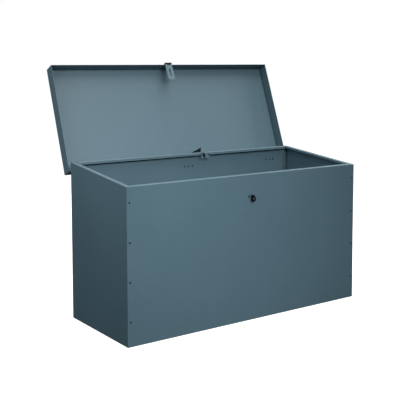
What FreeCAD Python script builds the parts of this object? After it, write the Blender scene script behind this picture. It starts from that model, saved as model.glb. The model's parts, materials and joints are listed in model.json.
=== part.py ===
import FreeCAD, Part
import math
import os
import Sketcher
from FreeCAD import Vector

# Steel deck storage box with a sloping top and a hinged pan lid, shown open.
# Chest frame: +X to the right along the front, +Y to the back, +Z up, with the
# origin on the ground at the middle of the base. Lid pieces are drawn closed, in
# a frame at the hinge pin, and their Placement swings them open about that pin.

SIZES = [
    # chest of folded sheet
    ("width", 1200),
    ("depth", 460),
    ("front_height", 615),
    ("back_height", 665),
    ("sheet", 1.2),
    ("rim_width", 20),
    ("rim_lip", 10),
    ("front_corner_gap", 1),
    ("back_corner_gap", 5),
    ("floor_gap", 0.3),
    # rivets
    ("shank_radius", 2.4),
    ("hole_play", 0.05),
    ("head_radius", 4.4),
    ("head_rise", 1.5),
    ("tail_radius", 3.5),
    ("tail_rise", 2),
    ("tail_taper", 0.8),
    ("corner_rivet_inset", 12.5),
    ("corner_rivet_first", 97.5),
    ("corner_rivet_pitch", 152.5),
    # lid pan
    ("lid_gap", 0.5),
    ("lid_side_gap", 1.3),
    ("lid_front_gap", 2.5),
    ("lid_flange", 50),
    ("open_angle", 116),
    # butt hinges on the back
    ("pin_back", 12.3),
    ("pin_height", 620.8),
    ("pin_radius", 2),
    ("running_gap", 0.05),
    ("knuckle_radius", 3.6),
    ("knuckle_clear", 0.6),
    ("pin_head", 1),
    ("flange_stand_off", 3.9),
    ("hinge_spacing", 487),
    ("hinge_width", 80),
    ("knuckle_gap", 0.4),
    ("leaf", 1.5),
    ("body_leaf_bottom", 594),
    ("body_leaf_top", 614),
    ("crank_clear", 0.2),
    ("web_bite", 0.6),
    ("body_rivet_height", 604.5),
    ("lid_leaf_height", 28),
    ("lid_rivet_height", 18),
    ("hinge_rivet_pitch", 22),
    # padlock staple
    ("staple_height", 517),
    ("staple_tall", 27),
    ("staple_reach", 13.5),
    ("staple_thick", 5),
    ("staple_hole", 5.5),
    ("staple_hole_out", 15.5),
    ("staple_base_width", 44),
    ("staple_base_tall", 34),
    ("staple_base", 2),
    ("staple_rivet_side", 14),
    ("staple_rivet_up", 8),
    # hasp on the front flange of the lid
    ("hasp_width", 37),
    ("hasp_sheet", 2),
    ("hasp_leaf_tall", 42),
    ("hasp_drop", 7),
    ("hasp_middle", 14),
    ("strap_length", 84),
    ("strap_corner", 4),
    ("strap_relief", 9),
    ("slot_middle", 47),
    ("slot_length", 37),
    ("slot_width", 8.5),
    ("strap_tilt", 24),
    ("hasp_rivet_side", 11),
    ("hasp_rivet_low", 20),
    ("hasp_rivet_high", 35),
    # lid stay and its guide in the back rim
    ("stay_side", 72),
    ("stay_sheet", 3),
    ("stay_outer", 66),
    ("stay_inner", 40),
    ("tail_outer", 46),
    ("stay_front", 213),
    ("stay_end", 233),
    ("stop_radius", 42),
    ("stop_turn", 228.5),
    ("stop_pin_radius", 2),
    ("stop_waist_radius", 1.4),
    ("stop_waist_lap", 0.1),
    ("stop_pin_length", 12),
    ("stay_slot", 8),
    ("stay_slot_deep", 14),
    ("stay_heel", 16),
    ("stay_toe", 60),
    ("foot_near", 37),
    ("foot_far", 46),
    ("foot_width", 12),
    ("foot_sheet", 2),
    ("guide_left", 58),
    ("guide_width", 46),
    ("guide_bottom", 638),
    ("guide_top", 660),
    ("guide_sill", 641),
    ("guide_slot", 14.5),
    ("guide_sheet", 1.5),
    ("guide_rivet_inset", 4.5),
    ("guide_rivet_height", 655.5),
]
CORNER_RIVETS = 4
HINGE_RIVETS = 3
HINGES = (("left", -1), ("middle", 0), ("right", 1))
KNUCKLES = 5

doc = FreeCAD.newDocument("DeckStorageBox")
sheet = doc.addObject("Spreadsheet::Sheet", "Sizes")
for row, (alias, number) in enumerate(SIZES, start=1):
    sheet.set(f"A{row}", alias)
    sheet.set(f"B{row}", str(number))
    sheet.setAlias(f"B{row}", alias)
doc.recompute()

# Expressions that several pieces share.
HALF_WIDTH = "Sizes.width / 2"
HALF_DEPTH = "Sizes.depth / 2"
SLOPE = "(Sizes.back_height - Sizes.front_height) / Sizes.depth"
PIN_Y = f"({HALF_DEPTH} + Sizes.pin_back)"
HOLE = "Sizes.shank_radius + Sizes.hole_play"
BORE = "Sizes.pin_radius + Sizes.running_gap"
PIN_HEAD = "Sizes.pin_radius + Sizes.pin_head"
LID_REAR = "-Sizes.flange_stand_off"
LID_FRONT = f"(-{HALF_DEPTH} - Sizes.lid_front_gap - Sizes.sheet - {PIN_Y})"


def rim(y):
    """Height of the sloping rim plane at depth y in the chest frame."""
    return f"(Sizes.front_height + {SLOPE} * (({y}) + {HALF_DEPTH}))"


def lid_under(y):
    """Height of the lid plate's underside at depth y in the lid frame."""
    return f"({rim(f'({y}) + {PIN_Y}')} + Sizes.lid_gap - Sizes.pin_height)"


HASP_Y = f"({LID_FRONT} - Sizes.knuckle_radius)"
FLANGE_END = f"({lid_under(LID_FRONT)} + Sizes.sheet - Sizes.lid_flange)"
HASP_Z = f"({FLANGE_END} - Sizes.hasp_drop)"


def value(expression):
    """The number that an expression on the sheet comes to."""
    result = sheet.evalExpression(expression)
    return float(getattr(result, "Value", result))


# ---------------------------------------------------------------- helpers

def new_body(label):
    body = doc.addObject("PartDesign::Body", label)
    body.Label = label
    return body


def origin_item(body, role):
    return next(item for item in body.Origin.OriginFeatures if item.Role == role)


def new_sketch(body, plane, offset="0"):
    """A sketch on one of the body's own planes, moved along its normal."""
    sketch = body.newObject("Sketcher::SketchObject", f"{body.Name}_sketch")
    sketch.AttachmentSupport = [(origin_item(body, plane), "")]
    sketch.MapMode = "FlatFace"
    if offset != "0":
        sketch.setExpression("AttachmentOffset.Base.z", offset)
    return sketch


def hold(sketch, geometry, point, axis, expression):
    """Ties one coordinate of a point to the sheet."""
    kind, origin_axis = {"x": ("DistanceX", -2), "y": ("DistanceY", -1)}[axis]
    if expression == "0":
        sketch.addConstraint(
            Sketcher.Constraint("PointOnObject", geometry, point, origin_axis))
        return
    index = sketch.addConstraint(
        Sketcher.Constraint(kind, -1, 1, geometry, point, value(expression)))
    sketch.setExpression(f"Constraints[{index}]", expression)


def outline(sketch, corners):
    """A closed polygon with its corners tied to the sheet."""
    first = sketch.GeometryCount
    spots = [Vector(value(x), value(y), 0) for x, y in corners]
    count = len(corners)
    for i in range(count):
        sketch.addGeometry(Part.LineSegment(spots[i], spots[(i + 1) % count]))
    for i in range(count):
        follower = first + (i + 1) % count
        sketch.addConstraint(
            Sketcher.Constraint("Coincident", first + i, 2, follower, 1))
    for i, (x, y) in enumerate(corners):
        hold(sketch, first + i, 1, "x", x)
        hold(sketch, first + i, 1, "y", y)


def rectangle(sketch, left, right, bottom, top):
    outline(sketch, [(left, bottom), (right, bottom), (right, top), (left, top)])


def circle(sketch, x, y, radius):
    """A circle with its centre and radius tied to the sheet."""
    centre = Vector(value(x), value(y), 0)
    index = sketch.addGeometry(Part.Circle(centre, Vector(0, 0, 1), value(radius)))
    hold(sketch, index, 3, "x", x)
    hold(sketch, index, 3, "y", y)
    bound = sketch.addConstraint(Sketcher.Constraint("Radius", index, value(radius)))
    sketch.setExpression(f"Constraints[{bound}]", radius)


def pad(body, sketch, length, symmetric=False):
    feature = body.newObject("PartDesign::Pad", f"{body.Name}_pad")
    feature.Profile = sketch
    feature.SideType = "Symmetric" if symmetric else "One side"
    feature.setExpression("Length", length)
    return feature


def cut(body, sketch, length, symmetric=True):
    """Pocket that must take material away, whichever side it works on."""
    doc.recompute()
    before = body.Shape.Volume
    feature = body.newObject("PartDesign::Pocket", f"{body.Name}_pocket")
    feature.Profile = sketch
    feature.SideType = "Symmetric" if symmetric else "One side"
    feature.Reversed = not symmetric
    feature.setExpression("Length", length)
    doc.recompute()
    if body.Shape.Volume >= before:
        raise RuntimeError(f"a pocket of {body.Label} cuts nothing")
    return feature


def open_about_hinge(body):
    """Places a piece drawn in the closed lid's frame on the open lid."""
    turn = FreeCAD.Rotation(Vector(1, 0, 0), -value("Sizes.open_angle"))
    body.Placement = FreeCAD.Placement(Vector(), turn)
    body.setExpression("Placement.Base.y", PIN_Y)
    body.setExpression("Placement.Base.z", "Sizes.pin_height")
    body.setExpression("Placement.Rotation.Angle", "-Sizes.open_angle")


def opened(y, z):
    """Chest-frame depth and height of a lid-frame point on the open lid."""
    turn = "Sizes.open_angle"
    depth = f"{PIN_Y} + ({y}) * cos({turn}) + ({z}) * sin({turn})"
    height = f"Sizes.pin_height - ({y}) * sin({turn}) + ({z}) * cos({turn})"
    return depth, height


# ---------------------------------------------------------------- rivets

def head_arc(sketch, centre, face, outward):
    """Domed head over a face, from the axis down to the rim of the head."""
    radius, rise = value("Sizes.head_radius"), value("Sizes.head_rise")
    sphere = (radius ** 2 + rise ** 2) / (2 * rise)
    low = Vector(value(centre), value(face) + outward * (rise - sphere), 0)
    rim_angle = math.atan2(outward * (sphere - rise), radius)
    angles = sorted((rim_angle, outward * math.pi / 2))
    sketch.addGeometry(Part.ArcOfCircle(Part.Circle(low, Vector(0, 0, 1), sphere), *angles))


def rivet_corners(centre, face, outward, grip):
    """Half section of a set rivet from the head's rim round to its top."""
    behind = f"{face} - {outward} * ({grip})"
    end = f"{behind} - {outward} * Sizes.tail_rise"
    return [
        (f"{centre} + Sizes.head_radius", face),
        (f"{centre} + Sizes.shank_radius", face),
        (f"{centre} + Sizes.shank_radius", behind),
        (f"{centre} + Sizes.tail_radius", behind),
        (f"{centre} + Sizes.tail_radius - Sizes.tail_taper", end),
        (centre, end),
        (centre, f"{face} + {outward} * Sizes.head_rise"),
    ]


def rivet_section(sketch, corners, outward):
    """Closes the head's arc with straight sides, all held by expressions."""
    spots = [Vector(value(x), value(y), 0) for x, y in corners]
    for start, finish in zip(spots, spots[1:]):
        sketch.addGeometry(Part.LineSegment(start, finish))
    last = len(corners) - 1
    top_point, rim_point = (2, 1) if outward > 0 else (1, 2)
    for i in range(1, last):
        sketch.addConstraint(Sketcher.Constraint("Coincident", i, 2, i + 1, 1))
    sketch.addConstraint(Sketcher.Constraint("Coincident", 0, rim_point, 1, 1))
    sketch.addConstraint(Sketcher.Constraint("Coincident", last, 2, 0, top_point))
    sketch.addConstraint(Sketcher.Constraint("PointOnObject", 0, 3, last))
    for i, (x, y) in enumerate(corners[:-1]):
        hold(sketch, i + 1, 1, "x", x)
        hold(sketch, i + 1, 1, "y", y)
    hold(sketch, last, 2, "x", corners[-1][0])
    hold(sketch, last, 2, "y", corners[-1][1])
    axis = sketch.addGeometry(Part.LineSegment(spots[-2], spots[-1]), True)
    sketch.addConstraint(Sketcher.Constraint("Coincident", axis, 1, last, 1))
    sketch.addConstraint(Sketcher.Constraint("Coincident", axis, 2, last, 2))


def rivet_row(label, across, face, height, outward, grip, direction="X_Axis",
              spacing="0", count=1, middle=True):
    """Blind rivets along Y: domed head on face, set tail past the grip.

    across and height place the first rivet, and the rest follow along direction.
    outward is +1 where the head points to +Y and -1 where it points to -Y.
    """
    body = new_body(label)
    centre = f"{across} - ({spacing}) * {(count - 1) / 2}" if middle else across
    sketch = new_sketch(body, "XY_Plane", height)
    head_arc(sketch, centre, face, outward)
    rivet_section(sketch, rivet_corners(centre, face, outward, grip), outward)
    turned = body.newObject("PartDesign::Revolution", f"{label}_turned")
    turned.Profile = sketch
    turned.ReferenceAxis = (sketch, ["Axis0"])
    turned.Angle = 360
    doc.recompute()
    if count > 1:
        row_of = body.newObject("PartDesign::LinearPattern", f"{label}_row")
        row_of.Originals = [turned]
        row_of.Direction = (origin_item(body, direction), [""])
        row_of.setExpression("Length", f"({spacing}) * {count - 1}")
        row_of.Occurrences = count
        body.Tip = row_of
    return body


def rivet_places(across, spacing, count):
    """Expressions for the middles of a centred row."""
    return [f"{across} + ({spacing}) * {i - (count - 1) / 2}" for i in range(count)]


# ---------------------------------------------------------------- chest

def end_panel(label, side):
    """Front (side -1) or back (side +1) wall with its folded rim and foot."""
    wall = f"{side} * {HALF_DEPTH}"

    def inward(distance):
        return f"({wall} - {side} * ({distance}))"

    inner = inward("Sizes.sheet")
    lip_back = inward("Sizes.rim_width - Sizes.sheet")
    lip_face = inward("Sizes.rim_width")
    body = new_body(label)
    profile = new_sketch(body, "YZ_Plane")
    outline(profile, [
        (wall, "0"),
        (inner, "0"),
        (inner, "Sizes.sheet"),
        (lip_face, "Sizes.sheet"),
        (lip_face, "2 * Sizes.sheet"),
        (inner, "2 * Sizes.sheet"),
        (inner, f"{rim(inner)} - Sizes.sheet"),
        (lip_back, f"{rim(lip_back)} - Sizes.sheet"),
        (lip_back, f"{rim(lip_back)} - Sizes.rim_lip"),
        (lip_face, f"{rim(lip_face)} - Sizes.rim_lip"),
        (lip_face, rim(lip_face)),
        (wall, rim(wall)),
    ])
    pad(body, profile, "Sizes.width", symmetric=True)
    gap = "Sizes.front_corner_gap" if side < 0 else "Sizes.back_corner_gap"
    corner = f"{HALF_WIDTH} - Sizes.rim_width - {gap}"
    past = inward("2 * Sizes.rim_width")
    notches = new_sketch(body, "XY_Plane")
    for end in (-1, 1):
        rectangle(notches, f"{end} * ({corner})", f"{end} * (Sizes.width)", inner, past)
    cut(body, notches, "3 * Sizes.back_height")
    holes = new_sketch(body, "XZ_Plane")
    for end in (-1, 1):
        for i in range(CORNER_RIVETS):
            circle(holes, f"{end} * ({HALF_WIDTH} - Sizes.corner_rivet_inset)",
                   f"Sizes.corner_rivet_first + {i} * Sizes.corner_rivet_pitch", HOLE)
    cut(body, holes, "2 * Sizes.depth")
    return body


def front_panel():
    body = end_panel("front_panel", -1)
    seat = new_sketch(body, "XZ_Plane")
    tall = "(Sizes.staple_tall / 2 + Sizes.hole_play)"
    wide = "(Sizes.staple_thick / 2 + Sizes.hole_play)"
    rectangle(seat, f"-{wide}", wide, f"Sizes.staple_height - {tall}",
              f"Sizes.staple_height + {tall}")
    for end in (-1, 1):
        circle(seat, f"{end} * Sizes.staple_rivet_side",
               "Sizes.staple_height + Sizes.staple_rivet_up", HOLE)
    cut(body, seat, "2 * Sizes.depth")


def back_panel():
    body = end_panel("back_panel", 1)
    holes = new_sketch(body, "XZ_Plane")
    for _, place in HINGES:
        for x in rivet_places(f"{place} * Sizes.hinge_spacing",
                              "Sizes.hinge_rivet_pitch", HINGE_RIVETS):
            circle(holes, x, "Sizes.body_rivet_height", HOLE)
    cut(body, holes, "2 * Sizes.depth")
    lip_holes = new_sketch(body, "XZ_Plane", f"-1 * ({HALF_DEPTH} - Sizes.rim_width)")
    for x in guide_rivet_places():
        circle(lip_holes, x, "Sizes.guide_rivet_height", HOLE)
    cut(body, lip_holes, "4 * Sizes.sheet")
    slot = new_sketch(body, "XZ_Plane")
    middle = "(Sizes.stay_side + Sizes.stay_sheet / 2)"
    rectangle(slot, f"{middle} - Sizes.stay_slot / 2", f"{middle} + Sizes.stay_slot / 2",
              "Sizes.back_height - Sizes.stay_slot_deep", "Sizes.back_height + Sizes.sheet")
    cut(body, slot, "2 * Sizes.depth")


def side_panel(label, side):
    """Left (side -1) or right (side +1) wall: a pan with its open face inward."""
    near = f"-{HALF_WIDTH}" if side < 0 else f"{HALF_WIDTH} - Sizes.rim_width"
    wall = "Sizes.sheet"
    front = f"(-{HALF_DEPTH} + {wall})"
    back = f"({HALF_DEPTH} - {wall})"
    body = new_body(label)
    outer = new_sketch(body, "YZ_Plane", near)
    outline(outer, [(front, "0"), (back, "0"), (back, rim(back)), (front, rim(front))])
    pad(body, outer, "Sizes.rim_width")
    hollow_from = f"{near} + {wall}" if side < 0 else near
    inner = new_sketch(body, "YZ_Plane", hollow_from)
    front_in, back_in = f"({front} + {wall})", f"({back} - {wall})"
    outline(inner, [(front_in, f"2 * {wall}"), (back_in, f"2 * {wall}"),
                    (back_in, f"{rim(back_in)} - {wall}"),
                    (front_in, f"{rim(front_in)} - {wall}")])
    rectangle(inner, front_in, back_in, "0", wall)
    cut(body, inner, f"Sizes.rim_width - {wall}", symmetric=False)
    lip_at = f"{near} + Sizes.rim_width - {wall}" if side < 0 else near
    lip = new_sketch(body, "YZ_Plane", lip_at)
    outline(lip, [(front_in, f"{rim(front_in)} - Sizes.rim_lip"),
                  (back_in, f"{rim(back_in)} - Sizes.rim_lip"),
                  (back_in, f"{rim(back_in)} - {wall} / 2"),
                  (front_in, f"{rim(front_in)} - {wall} / 2")])
    pad(body, lip, wall)
    holes = new_sketch(body, "XZ_Plane")
    for i in range(CORNER_RIVETS):
        circle(holes, f"{side} * ({HALF_WIDTH} - Sizes.corner_rivet_inset)",
               f"Sizes.corner_rivet_first + {i} * Sizes.corner_rivet_pitch", HOLE)
    cut(body, holes, "2 * Sizes.depth")


def floor_panel():
    """Plate on the ground, under the folded feet of the four walls."""
    body = new_body("floor_panel")
    plate = new_sketch(body, "XY_Plane")
    across = f"({HALF_WIDTH} - Sizes.sheet - Sizes.floor_gap)"
    along = f"({HALF_DEPTH} - 2 * Sizes.sheet - Sizes.floor_gap)"
    rectangle(plate, f"-{across}", across, f"-{along}", along)
    pad(body, plate, "Sizes.sheet")


def corner_rivets():
    for name, side in (("front", -1), ("rear", 1)):
        for hand, end in (("left", -1), ("right", 1)):
            rivet_row(f"{name}_{hand}_rivets",
                      f"{end} * ({HALF_WIDTH} - Sizes.corner_rivet_inset)",
                      f"{side} * {HALF_DEPTH}", "Sizes.corner_rivet_first", side,
                      "2 * Sizes.sheet", "Z_Axis", "Sizes.corner_rivet_pitch",
                      CORNER_RIVETS, middle=False)


# ---------------------------------------------------------------- hinges

def knuckle_ends(index, middle):
    """Left and right ends of one knuckle of a hinge, with half a gap each."""
    pitch = f"Sizes.hinge_width / {KNUCKLES}"
    left = f"{middle} - Sizes.hinge_width / 2 + {index} * {pitch}"
    return f"{left} - Sizes.knuckle_gap / 2", f"{left} + {pitch} + Sizes.knuckle_gap / 2"


def barrel(body, start, y, z):
    """Full-length hinge barrel with its bore."""
    tube = new_sketch(body, "YZ_Plane", start)
    circle(tube, y, z, "Sizes.knuckle_radius")
    pad(body, tube, "Sizes.hinge_width")
    bore = new_sketch(body, "YZ_Plane", start)
    circle(bore, y, z, BORE)
    cut(body, bore, "3 * Sizes.hinge_width")


def body_leaf(label, middle):
    """Cranked leaf: flat on the back panel, then out and up to the pin."""
    body = new_body(label)
    start = f"{middle} - Sizes.hinge_width / 2"
    top = "Sizes.body_leaf_top"
    face = f"({HALF_DEPTH} + Sizes.leaf)"
    web_out = f"({PIN_Y} + Sizes.leaf / 2)"
    web_in = f"({PIN_Y} - Sizes.leaf / 2)"
    web_top = "Sizes.pin_height - Sizes.knuckle_radius + Sizes.web_bite"
    profile = new_sketch(body, "YZ_Plane", start)
    outline(profile, [
        (HALF_DEPTH, "Sizes.body_leaf_bottom"),
        (face, "Sizes.body_leaf_bottom"),
        (face, f"{top} - Sizes.leaf"),
        (web_out, f"{top} - Sizes.leaf"),
        (web_out, web_top),
        (web_in, web_top),
        (web_in, top),
        (HALF_DEPTH, top),
    ])
    pad(body, profile, "Sizes.hinge_width")
    barrel(body, start, PIN_Y, "Sizes.pin_height")
    gaps = new_sketch(body, "XZ_Plane")
    for index in range(1, KNUCKLES, 2):
        left, right = knuckle_ends(index, middle)
        rectangle(gaps, left, right, f"{top} + Sizes.crank_clear",
                  "Sizes.pin_height + 2 * Sizes.knuckle_radius")
    cut(body, gaps, "3 * Sizes.depth")
    holes = new_sketch(body, "XZ_Plane")
    for x in rivet_places(middle, "Sizes.hinge_rivet_pitch", HINGE_RIVETS):
        circle(holes, x, "Sizes.body_rivet_height", HOLE)
    cut(body, holes, "3 * Sizes.depth")


def lid_leaf(label, middle):
    """Flat leaf on the outside of the lid's rear flange."""
    body = new_body(label)
    start = f"{middle} - Sizes.hinge_width / 2"
    plate = new_sketch(body, "YZ_Plane", start)
    rectangle(plate, LID_REAR, f"{LID_REAR} + Sizes.leaf", "0", "Sizes.lid_leaf_height")
    pad(body, plate, "Sizes.hinge_width")
    barrel(body, start, "0", "0")
    gaps = new_sketch(body, "XZ_Plane")
    clear = "(Sizes.knuckle_radius + Sizes.knuckle_clear)"
    for index in range(0, KNUCKLES, 2):
        left, right = knuckle_ends(index, middle)
        rectangle(gaps, left, right, f"-{clear}", clear)
    cut(body, gaps, "3 * Sizes.depth")
    holes = new_sketch(body, "XZ_Plane")
    for x in rivet_places(middle, "Sizes.hinge_rivet_pitch", HINGE_RIVETS):
        circle(holes, x, "Sizes.lid_rivet_height", HOLE)
    cut(body, holes, "3 * Sizes.depth")
    open_about_hinge(body)


def hinge_pin(label, middle):
    """Headed pin that stays in the chest's knuckles."""
    body = new_body(label)
    rod = new_sketch(body, "YZ_Plane", f"{middle} - Sizes.hinge_width / 2")
    circle(rod, PIN_Y, "Sizes.pin_height", "Sizes.pin_radius")
    pad(body, rod, "Sizes.hinge_width")
    left_head = "- Sizes.hinge_width / 2 - Sizes.pin_head"
    for offset in (left_head, "+ Sizes.hinge_width / 2"):
        head = new_sketch(body, "YZ_Plane", f"{middle} {offset}")
        circle(head, PIN_Y, "Sizes.pin_height", PIN_HEAD)
        pad(body, head, "Sizes.pin_head")


def hinges():
    for name, place in HINGES:
        middle = f"{place} * Sizes.hinge_spacing"
        body_leaf(f"{name}_hinge_body_leaf", middle)
        lid_leaf(f"{name}_hinge_lid_leaf", middle)
        hinge_pin(f"{name}_hinge_pin", middle)
        rivet_row(f"{name}_hinge_body_rivets", middle, f"{HALF_DEPTH} + Sizes.leaf",
                  "Sizes.body_rivet_height", 1, "Sizes.leaf + Sizes.sheet",
                  spacing="Sizes.hinge_rivet_pitch", count=HINGE_RIVETS)
        row = rivet_row(f"{name}_hinge_lid_rivets", middle, f"{LID_REAR} + Sizes.leaf",
                        "Sizes.lid_rivet_height", 1, "Sizes.leaf + Sizes.sheet",
                        spacing="Sizes.hinge_rivet_pitch", count=HINGE_RIVETS)
        open_about_hinge(row)


# ---------------------------------------------------------------- lid

def lid_panel():
    """Pan with four flanges: a plate on the slope and upright walls round it."""
    body = new_body("lid_panel")
    sheet_up = "Sizes.sheet"
    outer = new_sketch(body, "YZ_Plane")
    top_front = f"{lid_under(LID_FRONT)} + {sheet_up}"
    top_rear = f"{lid_under(LID_REAR)} + {sheet_up}"
    outline(outer, [(LID_FRONT, top_front), (LID_REAR, top_rear),
                    (LID_REAR, f"{top_rear} - Sizes.lid_flange"),
                    (LID_FRONT, f"{top_front} - Sizes.lid_flange")])
    pad(body, outer, "Sizes.width + 2 * (Sizes.lid_side_gap + Sizes.sheet)", True)
    inner = new_sketch(body, "YZ_Plane")
    front = f"({LID_FRONT} + Sizes.sheet)"
    rear = f"({LID_REAR} - Sizes.sheet)"
    outline(inner, [(front, lid_under(front)), (rear, lid_under(rear)),
                    (rear, f"{lid_under(rear)} - 2 * Sizes.lid_flange"),
                    (front, f"{lid_under(front)} - 2 * Sizes.lid_flange")])
    cut(body, inner, "Sizes.width + 2 * Sizes.lid_side_gap")
    rear_holes = new_sketch(body, "XZ_Plane", "-1 * (" + LID_REAR + ")")
    for _, place in HINGES:
        for x in rivet_places(f"{place} * Sizes.hinge_spacing",
                              "Sizes.hinge_rivet_pitch", HINGE_RIVETS):
            circle(rear_holes, x, "Sizes.lid_rivet_height", HOLE)
    cut(body, rear_holes, "4 * Sizes.sheet")
    front_holes = new_sketch(body, "XZ_Plane", "-1 * (" + LID_FRONT + ")")
    for up in ("Sizes.hasp_rivet_low", "Sizes.hasp_rivet_high"):
        for end in (-1, 1):
            circle(front_holes, f"{end} * Sizes.hasp_rivet_side", f"{HASP_Z} + {up}",
                   HOLE)
    cut(body, front_holes, "4 * Sizes.sheet")
    open_about_hinge(body)


# ---------------------------------------------------------------- hasp

def hasp_leaf():
    """Fixed leaf on the front flange, with the middle knuckle below its edge."""
    body = new_body("hasp_leaf")
    half = "Sizes.hasp_width / 2"
    plate = new_sketch(body, "YZ_Plane")
    rectangle(plate, f"{LID_FRONT} - Sizes.hasp_sheet", LID_FRONT, HASP_Z,
              f"{HASP_Z} + Sizes.hasp_leaf_tall")
    pad(body, plate, "Sizes.hasp_width", symmetric=True)
    tube = new_sketch(body, "YZ_Plane")
    circle(tube, HASP_Y, HASP_Z, "Sizes.knuckle_radius")
    pad(body, tube, "Sizes.hasp_width", symmetric=True)
    bore = new_sketch(body, "YZ_Plane")
    circle(bore, HASP_Y, HASP_Z, BORE)
    cut(body, bore, "2 * Sizes.hasp_width")
    clear = "(Sizes.knuckle_radius + Sizes.knuckle_clear)"
    gaps = new_sketch(body, "XZ_Plane")
    for end in (-1, 1):
        rectangle(gaps, f"{end} * (Sizes.hasp_middle / 2)", f"{end} * ({half} + {clear})",
                  f"{HASP_Z} - {clear}", f"{HASP_Z} + {clear}")
    cut(body, gaps, "3 * Sizes.depth")
    holes = new_sketch(body, "XZ_Plane")
    for up in ("Sizes.hasp_rivet_low", "Sizes.hasp_rivet_high"):
        for end in (-1, 1):
            circle(holes, f"{end} * Sizes.hasp_rivet_side", f"{HASP_Z} + {up}", HOLE)
    cut(body, holes, "3 * Sizes.depth")
    open_about_hinge(body)
    for name, up in (("lower", "Sizes.hasp_rivet_low"), ("upper", "Sizes.hasp_rivet_high")):
        row = rivet_row(f"hasp_{name}_rivets", "0", f"{LID_FRONT} - Sizes.hasp_sheet",
                        f"{HASP_Z} + {up}", -1, "Sizes.hasp_sheet + Sizes.sheet",
                        spacing="2 * Sizes.hasp_rivet_side", count=2)
        open_about_hinge(row)


def place_at_hasp(body, tilt):
    """Hangs a piece drawn about the hasp pin from the open lid's front edge."""
    turn = FreeCAD.Rotation(Vector(1, 0, 0), -value("Sizes.strap_tilt"))
    body.Placement = FreeCAD.Placement(Vector(), turn if tilt else FreeCAD.Rotation())
    depth, height = opened(HASP_Y, HASP_Z)
    body.setExpression("Placement.Base.y", depth)
    body.setExpression("Placement.Base.z", height)
    if tilt:
        body.setExpression("Placement.Rotation.Angle", "-Sizes.strap_tilt")


def hasp_pin():
    body = new_body("hasp_pin")
    rod = new_sketch(body, "YZ_Plane")
    circle(rod, "0", "0", "Sizes.pin_radius")
    pad(body, rod, "Sizes.hasp_width", symmetric=True)
    for start in ("-Sizes.hasp_width / 2 - Sizes.pin_head", "Sizes.hasp_width / 2"):
        head = new_sketch(body, "YZ_Plane", start)
        circle(head, "0", "0", PIN_HEAD)
        pad(body, head, "Sizes.pin_head")
    place_at_hasp(body, tilt=False)


def hasp_strap():
    """Slotted strap that swings on the hasp pin and drops over the staple."""
    body = new_body("hasp_strap")
    half = "Sizes.hasp_width / 2"
    plate = new_sketch(body, "XZ_Plane")
    corner = "Sizes.strap_corner"
    outline(plate, [(f"-{half}", "0"), (f"-{half}", f"-Sizes.strap_length + {corner}"),
                    (f"-{half} + {corner}", "-Sizes.strap_length"),
                    (f"{half} - {corner}", "-Sizes.strap_length"),
                    (half, f"-Sizes.strap_length + {corner}"), (half, "0")])
    pad(body, plate, "Sizes.hasp_sheet", symmetric=True)
    tube = new_sketch(body, "YZ_Plane")
    circle(tube, "0", "0", "Sizes.knuckle_radius")
    pad(body, tube, "Sizes.hasp_width", symmetric=True)
    bore = new_sketch(body, "YZ_Plane")
    circle(bore, "0", "0", BORE)
    cut(body, bore, "2 * Sizes.hasp_width")
    opening = new_sketch(body, "XZ_Plane")
    wide = "(Sizes.hasp_middle / 2 + Sizes.knuckle_gap)"
    rectangle(opening, f"-{wide}", wide, "-Sizes.strap_relief",
              "Sizes.knuckle_radius + Sizes.knuckle_clear")
    slot_half = "Sizes.slot_width / 2"
    rectangle(opening, f"-{slot_half}", slot_half,
              "-Sizes.slot_middle - Sizes.slot_length / 2",
              "-Sizes.slot_middle + Sizes.slot_length / 2")
    cut(body, opening, "3 * Sizes.depth")
    place_at_hasp(body, tilt=True)


# ---------------------------------------------------------------- staple

def padlock_staple():
    """Round-nosed lug through the front panel, on a base plate inside it."""
    body = new_body("padlock_staple")
    wall = f"-{HALF_DEPTH}"
    inside = f"({wall} + Sizes.sheet)"
    shoulder = f"({wall} - Sizes.staple_reach)"
    half = "Sizes.staple_tall / 2"
    lug = new_sketch(body, "YZ_Plane")
    rectangle(lug, shoulder, inside, f"Sizes.staple_height - {half}",
              f"Sizes.staple_height + {half}")
    pad(body, lug, "Sizes.staple_thick", symmetric=True)
    nose = new_sketch(body, "YZ_Plane")
    circle(nose, shoulder, "Sizes.staple_height", half)
    pad(body, nose, "Sizes.staple_thick", symmetric=True)
    base = new_sketch(body, "XZ_Plane", f"-1 * ({inside} + Sizes.staple_base)")
    side, tall = "Sizes.staple_base_width / 2", "Sizes.staple_base_tall / 2"
    rectangle(base, f"-{side}", side, f"Sizes.staple_height - {tall}",
              f"Sizes.staple_height + {tall}")
    pad(body, base, "Sizes.staple_base")
    eye = new_sketch(body, "YZ_Plane")
    circle(eye, f"{wall} - Sizes.staple_hole_out", "Sizes.staple_height",
           "Sizes.staple_hole")
    cut(body, eye, "3 * Sizes.staple_thick")
    holes = new_sketch(body, "XZ_Plane")
    for end in (-1, 1):
        circle(holes, f"{end} * Sizes.staple_rivet_side",
               "Sizes.staple_height + Sizes.staple_rivet_up", HOLE)
    cut(body, holes, "2 * Sizes.depth")
    rivet_row("staple_rivets", "0", wall, "Sizes.staple_height + Sizes.staple_rivet_up",
              -1, "Sizes.sheet + Sizes.staple_base",
              spacing="2 * Sizes.staple_rivet_side", count=2)


# ---------------------------------------------------------------- lid stay

def polar(radius, turn):
    return f"({radius}) * cos({turn})", f"({radius}) * sin({turn})"


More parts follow.
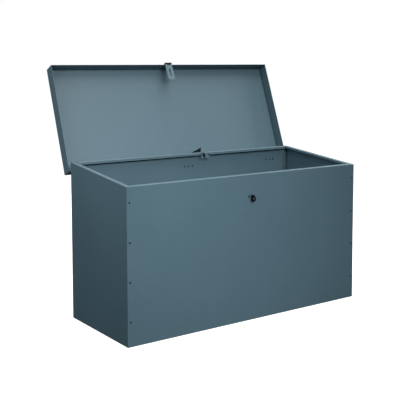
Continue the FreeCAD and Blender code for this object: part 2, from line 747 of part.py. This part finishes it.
def lid_stay():
    """Plate bent round the hinge line, with a tail that carries the stop."""
    body = new_body("lid_stay")
    flat = new_sketch(body, "YZ_Plane", "Sizes.stay_side")
    heel, toe = "-Sizes.stay_heel", "-Sizes.stay_toe"
    half_way = "(Sizes.stay_front + Sizes.stay_end) / 2"
    outline(flat, [
        (heel, lid_under(heel)),
        (toe, lid_under(toe)),
        polar("Sizes.stay_outer", "Sizes.stay_front"),
        polar("Sizes.tail_outer", "Sizes.stay_front"),
        polar("Sizes.tail_outer", half_way),
        polar("Sizes.tail_outer", "Sizes.stay_end"),
        polar("Sizes.stay_inner / 2", "Sizes.stay_end"),
        ("-Sizes.stay_inner / 2", "0"),
        (heel, "Sizes.stay_inner / 2"),
    ])
    pad(body, flat, "Sizes.stay_sheet")
    arcs = new_sketch(body, "YZ_Plane", "Sizes.stay_side")
    circle(arcs, "0", "0", "Sizes.stay_inner")
    cut(body, arcs, "6 * Sizes.stay_sheet")
    foot = new_sketch(body, "YZ_Plane", "Sizes.stay_side + Sizes.stay_sheet")
    near, far = "-Sizes.foot_near", "-Sizes.foot_far"
    outline(foot, [(near, lid_under(near)), (far, lid_under(far)),
                   (far, f"{lid_under(far)} - Sizes.foot_sheet"),
                   (near, f"{lid_under(near)} - Sizes.foot_sheet")])
    pad(body, foot, "Sizes.foot_width")
    seat = new_sketch(body, "YZ_Plane", "Sizes.stay_side")
    circle(seat, *polar("Sizes.stop_radius", "Sizes.stop_turn"),
           "Sizes.stop_waist_radius + Sizes.hole_play")
    cut(body, seat, "6 * Sizes.stay_sheet")
    open_about_hinge(body)


def stay_stop_pin():
    """Cross pin with a waist in the tail, wider than the slot in the rim."""
    body = new_body("stay_stop_pin")
    y, z = polar("Sizes.stop_radius", "Sizes.stop_turn")
    waist = new_sketch(body, "YZ_Plane", "Sizes.stay_side - Sizes.stop_waist_lap")
    circle(waist, y, z, "Sizes.stop_waist_radius")
    pad(body, waist, "Sizes.stay_sheet + 2 * Sizes.stop_waist_lap")
    wing = "(Sizes.stop_pin_length - Sizes.stay_sheet) / 2"
    for start in (f"Sizes.stay_side - {wing}", "Sizes.stay_side + Sizes.stay_sheet"):
        end = new_sketch(body, "YZ_Plane", start)
        circle(end, y, z, "Sizes.stop_pin_radius")
        pad(body, end, wing)
    open_about_hinge(body)


def guide_rivet_places():
    inset = "Sizes.guide_rivet_inset"
    return [f"Sizes.guide_left + {inset}",
            f"Sizes.guide_left + Sizes.guide_width - {inset}"]


def stay_guide():
    """Slotted plate on the lip of the back rim that the stay runs through."""
    body = new_body("stay_guide")
    face = f"{HALF_DEPTH} - Sizes.rim_width"
    plate = new_sketch(body, "XZ_Plane", f"-1 * ({face})")
    rectangle(plate, "Sizes.guide_left", "Sizes.guide_left + Sizes.guide_width",
              "Sizes.guide_bottom", "Sizes.guide_top")
    pad(body, plate, "Sizes.guide_sheet")
    middle = "(Sizes.stay_side + Sizes.stay_sheet / 2)"
    slot = new_sketch(body, "XZ_Plane")
    rectangle(slot, f"{middle} - Sizes.guide_slot / 2", f"{middle} + Sizes.guide_slot / 2",
              "Sizes.guide_sill", "Sizes.guide_top + Sizes.sheet")
    for x in guide_rivet_places():
        circle(slot, x, "Sizes.guide_rivet_height", HOLE)
    cut(body, slot, "2 * Sizes.depth")
    rivet_row("stay_guide_rivets", "Sizes.guide_left + Sizes.guide_width / 2",
              f"{face} - Sizes.guide_sheet", "Sizes.guide_rivet_height", -1,
              "Sizes.guide_sheet + Sizes.sheet",
              spacing="Sizes.guide_width - 2 * Sizes.guide_rivet_inset", count=2)


# ---------------------------------------------------------------- build and write

def check_and_write():
    doc.recompute()
    for item in doc.Objects:
        if "Invalid" in item.State or "Error" in item.State:
            raise RuntimeError(f"{item.Label} did not compute: {item.State}")
    pieces = [item for item in doc.Objects if item.TypeId == "PartDesign::Body"]
    for piece in pieces:
        if piece.Shape.isNull() or not piece.Shape.isValid():
            raise RuntimeError(f"{piece.Label} has no valid shape")
    os.makedirs("parts", exist_ok=True)
    for piece in pieces:
        piece.Shape.exportStep(f"parts/{piece.Label}.step")
        print(f"{piece.Label:28s} {len(piece.Shape.Solids)} solid(s) "
              f"{piece.Shape.Volume:12.1f} mm3")


floor_panel()
front_panel()
back_panel()
side_panel("left_side_panel", -1)
side_panel("right_side_panel", 1)
corner_rivets()
hinges()
lid_panel()
hasp_leaf()
hasp_pin()
hasp_strap()
padlock_staple()
lid_stay()
stay_stop_pin()
stay_guide()
check_and_write()
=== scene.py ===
import json
import math

import bmesh
import bpy
from mathutils import Matrix, Vector


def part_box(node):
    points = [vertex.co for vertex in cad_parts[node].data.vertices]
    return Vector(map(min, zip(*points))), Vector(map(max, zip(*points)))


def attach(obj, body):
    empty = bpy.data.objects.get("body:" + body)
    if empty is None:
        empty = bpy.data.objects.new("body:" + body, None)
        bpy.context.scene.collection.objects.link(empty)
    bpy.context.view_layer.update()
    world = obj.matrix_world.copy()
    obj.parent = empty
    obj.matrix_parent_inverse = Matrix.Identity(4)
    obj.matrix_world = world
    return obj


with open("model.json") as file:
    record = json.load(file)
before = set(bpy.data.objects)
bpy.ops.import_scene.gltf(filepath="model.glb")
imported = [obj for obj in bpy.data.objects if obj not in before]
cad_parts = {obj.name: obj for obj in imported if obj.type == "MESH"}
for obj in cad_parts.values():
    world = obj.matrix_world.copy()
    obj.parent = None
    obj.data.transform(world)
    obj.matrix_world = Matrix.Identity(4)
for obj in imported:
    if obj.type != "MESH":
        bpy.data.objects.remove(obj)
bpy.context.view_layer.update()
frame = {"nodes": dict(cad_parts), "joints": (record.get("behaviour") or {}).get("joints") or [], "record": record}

# Sheet-steel deck storage box, lid open. The CAD nodes keep their shapes and get
# procedural paint and metal, and the blind rivets get their broken mandrels.

JOINTS = {joint["name"]: joint for joint in frame["joints"]}
MM = 0.001


# ---------------------------------------------------------------- node helpers

class Graph:
    """Short calls for building one material's nodes."""

    def __init__(self, name):
        self.material = bpy.data.materials.new(name)
        self.material.use_nodes = True
        self.tree = self.material.node_tree
        self.tree.nodes.clear()
        self.out = self.node("ShaderNodeOutputMaterial")
        self.shader = self.node("ShaderNodeBsdfPrincipled")
        self.link(self.shader.outputs["BSDF"], self.out.inputs["Surface"])
        self.coordinates = self.node("ShaderNodeTexCoord").outputs["Object"]

    def node(self, kind, **settings):
        made = self.tree.nodes.new(kind)
        for key, setting in settings.items():
            setattr(made, key, setting)
        return made

    def link(self, source, target):
        self.tree.links.new(source, target)

    def feed(self, socket, source):
        if isinstance(source, bpy.types.NodeSocket):
            self.link(source, socket)
        else:
            socket.default_value = source

    def noise(self, scale, detail=2.0, stretch=(1, 1, 1), rough=0.5, offset=(0, 0, 0)):
        moved = self.node("ShaderNodeMapping")
        self.link(self.coordinates, moved.inputs["Vector"])
        moved.inputs["Scale"].default_value = stretch
        moved.inputs["Location"].default_value = offset
        made = self.node("ShaderNodeTexNoise")
        self.link(moved.outputs["Vector"], made.inputs["Vector"])
        made.inputs["Scale"].default_value = scale
        made.inputs["Detail"].default_value = detail
        made.inputs["Roughness"].default_value = rough
        return made.outputs["Fac"]

    def math(self, operation, first, second=0.0):
        made = self.node("ShaderNodeMath", operation=operation)
        self.feed(made.inputs[0], first)
        self.feed(made.inputs[1], second)
        return made.outputs[0]

    def span(self, source, low, high, to_low=0.0, to_high=1.0):
        made = self.node("ShaderNodeMapRange")
        self.link(source, made.inputs["Value"])
        for key, number in (("From Min", low), ("From Max", high),
                            ("To Min", to_low), ("To Max", to_high)):
            made.inputs[key].default_value = number
        return made.outputs["Result"]

    def mix(self, share, first, second):
        made = self.node("ShaderNodeMix", data_type="RGBA")
        self.feed(made.inputs["Factor"], share)
        for socket, source in zip(made.inputs[6:8], (first, second)):
            self.feed(socket, source)
        return made.outputs[2]

    def edges(self, radius, low, high):
        """Mask of the edges: where a bevelled normal leaves the true one."""
        bevel = self.node("ShaderNodeBevel", samples=4)
        bevel.inputs["Radius"].default_value = radius
        true = self.node("ShaderNodeNewGeometry").outputs["True Normal"]
        dot = self.node("ShaderNodeVectorMath", operation="DOT_PRODUCT")
        self.link(bevel.outputs["Normal"], dot.inputs[0])
        self.link(true, dot.inputs[1])
        return self.span(dot.outputs["Value"], high, low)

    def bump(self, height, distance, strength, under=None):
        made = self.node("ShaderNodeBump")
        made.inputs["Distance"].default_value = distance
        made.inputs["Strength"].default_value = strength
        self.link(height, made.inputs["Height"])
        if under is not None:
            self.link(under, made.inputs["Normal"])
        return made.outputs["Normal"]

    def axis(self, name):
        split = self.node("ShaderNodeSeparateXYZ")
        self.link(self.coordinates, split.inputs[0])
        return split.outputs[name]


def rgba(colour, gain=1.0):
    return (colour[0] * gain, colour[1] * gain, colour[2] * gain, 1.0)


# ---------------------------------------------------------------- materials

SHEET = 1.2 * MM
RIM_WIDTH = 20 * MM

# The painted shadow in the hollow behind the rim lips, measured down from the rim's top.
LIP_SHADOW_TOP = 4.5 * MM
LIP_SHADOW_DEPTH = 19 * MM

# Painted shade round the hinge line and hasp pin and in creases; dirt near the ground; dust and painted sheen on
# top.
KNUCKLE_SHADE_REACH = 7 * MM
KNUCKLE_SHADE_SHARE = 0.88
SPLASH_HEIGHT = 70 * MM
CREASE_SHADE_REACH = 11 * MM
CREASE_SHADE_SHARE = 0.62
DUST_AND_SHEEN_SHARE = 0.07

# Relief: rounded edges, rubbed paint, orange peel and waves in the sheet.
EDGE_ROUND = 0.9 * MM
RUB_REACH = 1.1 * MM
PEEL_DEPTH = 0.05 * MM
WAVE_DEPTH = 1.2 * MM
GRAIN_DEPTH = 0.04 * MM

PAINT = (0.066, 0.127, 0.163)
PAINT_PALE = (0.200, 0.275, 0.315)
HARDWARE_PAINT = (0.078, 0.140, 0.175)
DARK_PAINT = (0.011, 0.026, 0.034)
ZINC = (0.42, 0.43, 0.44)
BLACK = (0.0035, 0.004, 0.005)
MANDREL_BLACK = (0.008, 0.009, 0.010)
RUBBED_STEEL = (0.12, 0.125, 0.13)
TARNISH = (0.16, 0.13, 0.10)
DUST_AND_SHEEN = (0.30, 0.33, 0.34)


def lip_shadow(graph):
    """Mask of the painted shadow in the hollow behind the chest's rim lips."""
    front_top, back_top = (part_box(node)[1][2] for node in ("front_panel", "back_panel"))
    (left, front, _), (right, _, _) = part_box("front_panel")
    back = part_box("back_panel")[1][1]
    slope = (back_top - front_top) / (back - front)
    level = graph.math("MULTIPLY", graph.math("SUBTRACT", graph.axis("Y"), front), slope)
    below = graph.math("SUBTRACT", graph.math("ADD", level, front_top), graph.axis("Z"))
    mask = graph.math("MULTIPLY", graph.math("GREATER_THAN", below, LIP_SHADOW_TOP),
                      graph.span(below, LIP_SHADOW_DEPTH + SHEET, LIP_SHADOW_DEPTH - SHEET))
    behind_lip = 0.0
    for axis, half in (("X", (right - left) / 2), ("Y", (back - front) / 2)):
        reach = graph.math("ABSOLUTE", graph.axis(axis))
        inside = graph.math("LESS_THAN", reach, half - 0.6 * SHEET)
        mask = graph.math("MULTIPLY", mask, inside)
        past = graph.math("GREATER_THAN", reach, half - RIM_WIDTH + 2 * SHEET)
        behind_lip = graph.math("MAXIMUM", past, behind_lip)
    return graph.math("MULTIPLY", mask, behind_lip)


def knuckle_shade(graph):
    """Mask of painted shade round the hinge line and the hasp pin."""
    grime_and_shade = 0.0
    for joint in ("lid_hinge", "hasp_swing"):
        offsets = [graph.math("SUBTRACT", graph.axis(axis), JOINTS[joint]["pos_m"][i])
                   for i, axis in ((1, "Y"), (2, "Z"))]
        squares = [graph.math("MULTIPLY", offset, offset) for offset in offsets]
        distance = graph.math("SQRT", graph.math("ADD", *squares))
        near = graph.span(distance, KNUCKLE_SHADE_REACH, KNUCKLE_SHADE_REACH - SHEET, 0.0, KNUCKLE_SHADE_SHARE)
        grime_and_shade = graph.math("MAXIMUM", near, grime_and_shade)
    return grime_and_shade


def add_dirt_and_sheen(graph, shade, grime_and_shade):
    """Splashed dirt near the ground, and a thin film of dust and painted sheen on faces that look up."""
    low = graph.span(graph.axis("Z"), SPLASH_HEIGHT, 0.0)
    patchy = graph.span(graph.noise(14.0, 5.0, offset=(5, 2, 0)), 0.42, 0.72)
    soiled = graph.math("MULTIPLY", graph.math("MULTIPLY", low, patchy), grime_and_shade)
    shade = graph.mix(soiled, shade, rgba(DUST_AND_SHEEN, 0.35))
    up = graph.node("ShaderNodeSeparateXYZ")
    graph.link(graph.node("ShaderNodeNewGeometry").outputs["Normal"], up.inputs[0])
    # Faces that look up are lightened: part dust, part painted sheen.
    dust_and_sheen = graph.math("MULTIPLY", graph.span(up.outputs["Z"], 0.7, 1.0),
                      graph.span(graph.noise(9.0, 6.0, rough=0.65), 0.35, 0.8))
    return graph.mix(graph.math("MULTIPLY", dust_and_sheen, DUST_AND_SHEEN_SHARE), shade, rgba(DUST_AND_SHEEN))


def painted_shade_mask(graph, masks):
    """Mask of painted shade in tight creases, joined with the material's own painted shade masks."""
    crease = graph.node("ShaderNodeAmbientOcclusion", samples=8)
    crease.inputs["Distance"].default_value = CREASE_SHADE_REACH
    dark = graph.span(crease.outputs["AO"], 0.93, 0.50, 0.0, CREASE_SHADE_SHARE)
    for mask in masks:
        dark = graph.math("MAXIMUM", dark, mask(graph))
    return dark


def paint_texture(graph):
    """Rounded edges, orange peel and the slow waves of folded sheet."""
    soft = graph.node("ShaderNodeBevel", samples=4)
    soft.inputs["Radius"].default_value = EDGE_ROUND
    peel = graph.noise(620.0, 2.0, rough=0.55)
    texture = graph.bump(peel, PEEL_DEPTH, 0.30, soft.outputs["Normal"])
    return graph.bump(graph.noise(7.0, 2.0), WAVE_DEPTH, 0.16, texture)


def painted(name, colour, roughness, wear=0.5, grime_and_shade=0.12, gloss=0.42, shade_masks=()):
    """Powder coat: slow colour drift, dust with a painted sheen, painted shade in creases and rubbed edges."""
    graph = Graph(name)
    drift = graph.span(graph.noise(2.2, 3.0), 0.3, 0.7)
    shade = graph.mix(drift, rgba(colour, 0.95), rgba(colour, 1.05))
    mottle = graph.span(graph.noise(38.0, 4.0, rough=0.6, offset=(3, 1, 7)), 0.35, 0.7)
    shade = graph.mix(graph.math("MULTIPLY", mottle, 0.25), shade, rgba(colour, 1.12))
    shade = add_dirt_and_sheen(graph, shade, grime_and_shade)
    dark = painted_shade_mask(graph, shade_masks)
    # Painted shade: creases and the material's shade masks are darkened almost to black.
    shade = graph.mix(dark, shade, rgba(colour, 0.04))
    rub = graph.edges(RUB_REACH, 0.90, 0.995)
    chips = graph.span(graph.noise(120.0, 4.0, rough=0.7), 0.40, 0.62)
    rubbed = graph.math("MULTIPLY", graph.math("MULTIPLY", rub, chips), wear)
    graph.link(graph.mix(rubbed, shade, rgba(PAINT_PALE)),
               graph.shader.inputs["Base Color"])

    scuffs = graph.span(graph.noise(5.0, 6.0, stretch=(1, 1, 42), rough=0.7), 0.60, 0.74)
    smear = graph.span(graph.noise(3.5, 3.0, offset=(9, 4, 2)), 0.3, 0.75,
                       roughness - 0.05, roughness + 0.06)
    rough = graph.math("ADD", smear, graph.math("MULTIPLY", scuffs, 0.05))
    rough = graph.math("SUBTRACT", rough, graph.math("MULTIPLY", rubbed, 0.10))
    graph.link(rough, graph.shader.inputs["Roughness"])
    graph.link(paint_texture(graph), graph.shader.inputs["Normal"])
    graph.link(graph.span(dark, 0.0, 1.0, gloss, 0.1 * gloss),
               graph.shader.inputs["Specular IOR Level"])
    return graph.material


def plated(name, colour, roughness):
    """Bright zinc: fine drawn lines, cloudy tint and a little tarnish."""
    graph = Graph(name)
    cloud = graph.span(graph.noise(160.0, 4.0, rough=0.65), 0.35, 0.65)
    shade = graph.mix(cloud, rgba(colour, 0.86), rgba(colour, 1.10))
    tarnish = graph.span(graph.noise(420.0, 3.0, offset=(2, 5, 1)), 0.55, 0.75)
    shade = graph.mix(graph.math("MULTIPLY", tarnish, 0.3), shade, rgba(TARNISH))
    graph.link(shade, graph.shader.inputs["Base Color"])
    drawn = graph.noise(90.0, 3.0, stretch=(1, 40, 40))
    graph.link(graph.span(drawn, 0.3, 0.7, roughness - 0.08, roughness + 0.1),
               graph.shader.inputs["Roughness"])
    graph.link(graph.bump(drawn, GRAIN_DEPTH, 0.3), graph.shader.inputs["Normal"])
    graph.shader.inputs["Metallic"].default_value = 1.0
    return graph.material


def blackened(name, colour, roughness):
    """Black finish with a fine grain and pale rubbed edges."""
    graph = Graph(name)
    drift = graph.span(graph.noise(70.0, 4.0), 0.35, 0.7)
    shade = graph.mix(drift, rgba(colour, 0.8), rgba(colour, 1.5))
    rub = graph.edges(0.8 * MM, 0.85, 0.99)
    chips = graph.span(graph.noise(260.0, 4.0, rough=0.7), 0.46, 0.66)
    worn = graph.math("MULTIPLY", graph.math("MULTIPLY", rub, chips), 0.35)
    shade = graph.mix(worn, shade, rgba(RUBBED_STEEL))
    graph.link(shade, graph.shader.inputs["Base Color"])
    graph.link(graph.span(graph.noise(45.0, 3.0), 0.3, 0.7, roughness - 0.06,
                          roughness + 0.08), graph.shader.inputs["Roughness"])
    soft = graph.node("ShaderNodeBevel", samples=4)
    soft.inputs["Radius"].default_value = 0.6 * MM
    graph.shader.inputs["Specular IOR Level"].default_value = 0.2
    grain = graph.bump(graph.noise(900.0, 2.0), GRAIN_DEPTH, 0.35, soft.outputs["Normal"])
    graph.link(grain, graph.shader.inputs["Normal"])
    return graph.material


# Painted shadow behind the rim lips on the powder coat; painted shade round the knuckles on the hardware paint.
MATERIALS = {
    "powder_coat": painted("powder_coat", PAINT, 0.50, shade_masks=(lip_shadow,)),
    "painted_hardware": painted("painted_hardware", HARDWARE_PAINT, 0.44, wear=0.8,
                                grime_and_shade=0.0, shade_masks=(knuckle_shade,)),
    "rivet_steel": painted("rivet_steel", DARK_PAINT, 0.55, wear=0.25, grime_and_shade=0.0,
                           gloss=0.15),
    "zinc_steel": plated("zinc_steel", ZINC, 0.36),
    "black_steel": blackened("black_steel", BLACK, 0.5),
}
MANDREL = blackened("mandrel_steel", MANDREL_BLACK, 0.5)

slot_of = {part["node"]: part["material_slot"] for part in frame["record"]["subparts"]}
for node, part in frame["nodes"].items():
    part.data.materials.clear()
    part.data.materials.append(MATERIALS[slot_of[node]])


# ---------------------------------------------------------------- mesh helpers

def add_piece(name, mesh_maker, body, material):
    """One new smooth-shaded mesh object that rides on a CAD body."""
    work = bmesh.new()
    mesh_maker(work)
    mesh = bpy.data.meshes.new(name)
    bmesh.ops.recalc_face_normals(work, faces=work.faces)
    work.to_mesh(mesh)
    work.free()
    for face in mesh.polygons:
        face.use_smooth = True
    mesh.materials.append(material)
    piece = bpy.data.objects.new(name, mesh)
    bpy.context.scene.collection.objects.link(piece)
    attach(piece, body)


def lathe(work, place, outward, profile, steps=20):
    """Turns (radius, height) points about the outward axis through place."""
    outward = outward.normalized()
    side = outward.orthogonal().normalized()
    other = outward.cross(side)
    rings = []
    for radius, height in profile:
        centre = place + outward * height
        if radius == 0:
            rings.append([work.verts.new(centre)])
            continue
        turns = [2 * math.pi * i / steps for i in range(steps)]
        rings.append([work.verts.new(centre + radius * (side * math.cos(t)
                                                        + other * math.sin(t)))
                      for t in turns])
    for near, far in zip(rings, rings[1:]):
        join_rings(work, near, far, steps)


def join_rings(work, near, far, steps):
    """Faces between two rings, either of which may be a single point."""
    for i in range(steps):
        j = (i + 1) % steps
        if len(near) == 1:
            work.faces.new((near[0], far[i], far[j]))
        elif len(far) == 1:
            work.faces.new((near[i], near[j], far[0]))
        else:
            work.faces.new((near[i], near[j], far[j], far[i]))


# ---------------------------------------------------------------- lid frame

HINGE = JOINTS["lid_hinge"]
OPEN = math.radians(max(HINGE["range_deg"]))
# Turns a direction on the shut lid to where it points with the lid open, as built.
OPEN_TURN = Matrix.Rotation(-OPEN, 3, "X")


def islands(node):
    """The vertices of each separate solid in a CAD node."""
    work = bmesh.new()
    work.from_mesh(frame["nodes"][node].data)
    bmesh.ops.remove_doubles(work, verts=work.verts, dist=0.01 * MM)
    left = set(work.verts)
    found = []
    while left:
        stack = [left.pop()]
        group = []
        while stack:
            vertex = stack.pop()
            group.append(vertex.co.copy())
            for edge in vertex.link_edges:
                other = edge.other_vert(vertex)
                if other in left:
                    left.remove(other)
                    stack.append(other)
        found.append(group)
    work.free()
    return sorted(found, key=lambda group: (min(p.x for p in group), min(p.z for p in group)))


# ---------------------------------------------------------------- rivet mandrels

# A mandrel's (radius, height) points in millimetres, from the top of its rivet's head.
STUB = ((0.0, 0.16), (1.2, 0.14), (1.75, 0.04), (2.0, -0.30))
FRONT, BACK = Vector((0, -1, 0)), Vector((0, 1, 0))
RIVETS = {
    "front_left_rivets": FRONT, "front_right_rivets": FRONT,
    "rear_left_rivets": BACK, "rear_right_rivets": BACK,
    "staple_rivets": FRONT, "stay_guide_rivets": FRONT,
    "hasp_lower_rivets": OPEN_TURN @ FRONT, "hasp_upper_rivets": OPEN_TURN @ FRONT,
}
for hinge in ("left", "middle", "right"):
    RIVETS[f"{hinge}_hinge_body_rivets"] = BACK
    RIVETS[f"{hinge}_hinge_lid_rivets"] = OPEN_TURN @ BACK

body_of = {node: body for body, nodes in frame["record"]["behaviour"]["bodies"].items()
           for node in nodes}
for node, outward in RIVETS.items():
    def stubs(work, node=node, outward=outward):
        for group in islands(node):
            apex = max(group, key=lambda point: point.dot(outward))
            lathe(work, apex, outward, [(r * MM, h * MM) for r, h in STUB])
    add_piece(node.replace("rivets", "mandrels"), stubs, body_of[node],
              MANDREL)


# ---------------------------------------------------------------- floor, lights

FLOOR_HALF = 30.0
FLOOR_DROP = 0.4 * MM
DOME_RADIUS = 28.0
FLOOR_GREY = 0.42
FLOOR_GLOW = 0.93
DAYLIGHT = (1, 0.98, 0.96)
SKY = (0.93, 0.97, 1.0, 1)
HORIZON = (-0.15, 0.35)


def stage_floor():
    """A plain pale floor just under the feet."""
    mesh = bpy.data.meshes.new("floor")
    work = bmesh.new()
    corners = [work.verts.new((x * FLOOR_HALF, y * FLOOR_HALF, -FLOOR_DROP))
               for x, y in ((-1, -1), (1, -1), (1, 1), (-1, 1))]
    work.faces.new(corners)
    work.to_mesh(mesh)
    work.free()
    graph = Graph("floor")
    graph.shader.inputs["Base Color"].default_value = (FLOOR_GREY,) * 3 + (1,)
    graph.shader.inputs["Roughness"].default_value = 0.9
    graph.shader.inputs["Specular IOR Level"].default_value = 0.0
    graph.shader.inputs["Emission Color"].default_value = (1, 1, 1, 1)
    graph.shader.inputs["Emission Strength"].default_value = FLOOR_GLOW
    mesh.materials.append(graph.material)
    add_stage("floor", mesh)


def area_light(name, place, aim, size, power, colour):
    """A soft rectangular lamp."""
    light = bpy.data.lights.new(name, "AREA")
    light.shape = "RECTANGLE"
    light.size, light.size_y = size
    aim_lamp(name, light, place, aim, power, colour)


def spot_light(name, place, aim, cone, power, colour):
    """A wide soft spot, which fades out towards the rim of its cone."""
    light = bpy.data.lights.new(name, "SPOT")
    light.spot_size = math.radians(cone)
    light.spot_blend = 1.0
    light.shadow_soft_size = 0.5
    aim_lamp(name, light, place, aim, power, colour)


def aim_lamp(name, light, place, aim, power, colour):
    """Puts a light in the scene and points it."""
    light.energy = power
    light.color = colour
    lamp = bpy.data.objects.new(name, light)
    lamp.location = place
    lamp.rotation_euler = (Vector(aim) - Vector(place)).to_track_quat("-Z", "Y").to_euler()
    bpy.context.scene.collection.objects.link(lamp)


def stage_backdrop():
    """A plain white dome behind everything, which gives the object no light."""
    mesh = bpy.data.meshes.new("backdrop")
    work = bmesh.new()
    bmesh.ops.create_uvsphere(work, u_segments=64, v_segments=32, radius=DOME_RADIUS)
    work.to_mesh(mesh)
    work.free()
    graph = Graph("backdrop")
    graph.shader.inputs["Base Color"].default_value = (0, 0, 0, 1)
    graph.shader.inputs["Specular IOR Level"].default_value = 0.0
    graph.shader.inputs["Emission Color"].default_value = (1, 1, 1, 1)
    graph.shader.inputs["Emission Strength"].default_value = 1.0
    mesh.materials.append(graph.material)
    add_stage("backdrop", mesh)


def add_stage(name, mesh):
    """Stage objects show to the camera and take shadows, and light nothing."""
    stage = bpy.data.objects.new(name, mesh)
    stage.visible_diffuse = False
    stage.visible_glossy = False
    stage.visible_shadow = False
    bpy.context.scene.collection.objects.link(stage)


def set_world(above, below):
    """Soft light from above the horizon and a weaker bounce from below it."""
    world = bpy.data.worlds.new("studio")
    bpy.context.scene.world = world
    world.use_nodes = True
    tree = world.node_tree
    direction = tree.nodes.new("ShaderNodeTexCoord")
    split = tree.nodes.new("ShaderNodeSeparateXYZ")
    span = tree.nodes.new("ShaderNodeMapRange")
    tree.links.new(direction.outputs["Generated"], split.inputs[0])
    tree.links.new(split.outputs["Z"], span.inputs["Value"])
    span.inputs["From Min"].default_value = HORIZON[0]
    span.inputs["From Max"].default_value = HORIZON[1]
    span.inputs["To Min"].default_value = below
    span.inputs["To Max"].default_value = above
    back = tree.nodes["Background"]
    back.inputs["Color"].default_value = SKY
    tree.links.new(span.outputs["Result"], back.inputs["Strength"])


stage_floor()
stage_backdrop()
set_world(0.33, 0.06)
spot_light("key", (-0.9, -2.9, 1.7), (-0.34, -0.25, 0.38), 41, 300, (1, 0.97, 0.95))
area_light("fill", (0.1, -2.6, 2.3), (0.3, 0.2, 0.9), (1.6, 1.2), 42, (1, 0.92, 0.88))
area_light("top", (0.5, 0.1, 3.2), (0.4, 0.1, 0.4), (2.6, 1.4), 86, (1, 0.88, 0.81))
area_light("right", (2.9, 0.3, 1.7), (0.4, 0.0, 0.5), (1.4, 1.4), 60, DAYLIGHT)
area_light("back", (0.9, 3.1, 1.9), (0.0, 0.3, 0.6), (2.0, 1.4), 95, DAYLIGHT)
area_light("left", (-1.5, -0.05, 1.15), (-0.6, 0.0, 0.6), (0.6, 0.6), 7, DAYLIGHT)

view = bpy.context.scene.view_settings
view.view_transform = "Standard"
view.look = "None"


# ---------------------------------------------------------------- camera

FOCAL = 72.65
SENSOR = 36.0
SHIFT = (0.036, -0.175)
PLACE = (-2.1083, -2.8165, 1.0644)
AZIMUTH = math.radians(-34.491)
ELEVATION = math.radians(4.512)
ROLL = math.radians(-0.229)

camera_data = bpy.data.cameras.new("camera")
camera_data.lens = FOCAL
camera_data.sensor_width = SENSOR
camera_data.shift_x, camera_data.shift_y = SHIFT
camera_data.clip_start = 0.05
camera_data.clip_end = 200
camera = bpy.data.objects.new("camera", camera_data)
camera.location = PLACE
sight = -Vector((math.sin(AZIMUTH) * math.cos(ELEVATION),
                 -math.cos(AZIMUTH) * math.cos(ELEVATION), math.sin(ELEVATION)))
aim = sight.to_track_quat("-Z", "Y").to_matrix()
camera.rotation_euler = (aim @ Matrix.Rotation(ROLL, 3, "Z")).to_euler()
bpy.context.scene.collection.objects.link(camera)
bpy.context.scene.camera = camera
